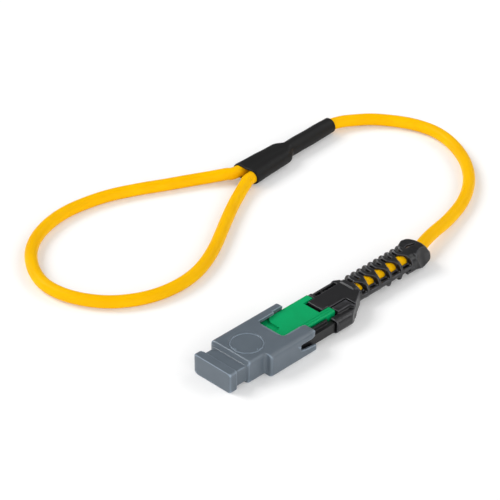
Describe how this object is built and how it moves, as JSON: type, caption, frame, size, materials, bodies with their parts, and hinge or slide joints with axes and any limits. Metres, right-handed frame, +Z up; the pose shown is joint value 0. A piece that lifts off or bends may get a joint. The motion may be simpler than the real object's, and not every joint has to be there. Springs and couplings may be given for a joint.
{
  "type": "fibre loopback plug",
  "caption": "Narrow push-pull plug with a dust cap and a jacketed fibre loop that leads its outgoing light back into its own receiving fibres.",
  "frame": {"origin": "point under the middle of the ferrule's mating face, on the dust cap's underside that the plug rests on", "axes": "+X from the dust cap along the plug towards its cable, +Z up from the resting surface, +Y away from the latch side"},
  "size_m": [0.0773, 0.0535, 0.0037],
  "materials": {
    "cap_plastic": "fine moulded satin",
    "green_plastic": "smooth moulded",
    "ferrule_plastic": "filled thermoset with a polished end",
    "fibre": "clear coated glass fibre",
    "soft_rubber": "soft",
    "black_plastic": "moulded satin",
    "boot_plastic": "moulded satin",
    "spring_steel": "drawn wire",
    "aramid": "fine loose yarn",
    "crimp_brass": "plain pressed",
    "cable_jacket": "smooth extruded jacket",
    "shrink_tube": "shrunk polyolefin tube"
  },
  "bodies": {
    "connector": {"front_housing": "green_plastic", "rear_body": "black_plastic", "ferrule_spring": "spring_steel", "aramid_yarn": "aramid", "crimp_ring": "crimp_brass", "cable_in_boot": "cable_jacket", "cable_trunk": "cable_jacket", "shrink_sleeve": "shrink_tube", "split_fibres": "fibre", "cable_loop": "cable_jacket"},
    "cap": {"dust_cap": "cap_plastic"},
    "boot": {"push_pull_boot": "boot_plastic"},
    "latch": {"latch_arm": "black_plastic"},
    "ferrule_body": {"ferrule": "ferrule_plastic", "fibre_ribbon": "fibre", "ferrule_boot": "soft_rubber", "spring_seat": "black_plastic"}
  },
  "joints": [
    {"name": "cap_pull", "type": "slide", "parent": "connector", "child": "cap", "axis": [-1, 0, 0], "range_m": [0, 0.018]},
    {"name": "boot_pull", "type": "slide", "parent": "connector", "child": "boot", "axis": [1, 0, 0], "range_m": [0, 0.0015], "stiffness_N_per_m": 800, "springref_m": -0.001},
    {"name": "latch_turn", "type": "hinge", "parent": "connector", "child": "latch", "pos_m": [0.016, -0.0036, 0.00185], "axis": [0, 0, -1], "range_deg": [0, 1.4]},
    {"name": "ferrule_push", "type": "slide", "parent": "connector", "child": "ferrule_body", "axis": [1, 0, 0], "range_m": [0, 0.0008], "stiffness_N_per_m": 1000, "springref_m": -0.002, "deforming": ["ferrule_spring"]}
  ],
  "couplings": [
    {"joint": "latch_turn", "follows": "boot_pull", "rad_per_m": 16.29}
  ]
}
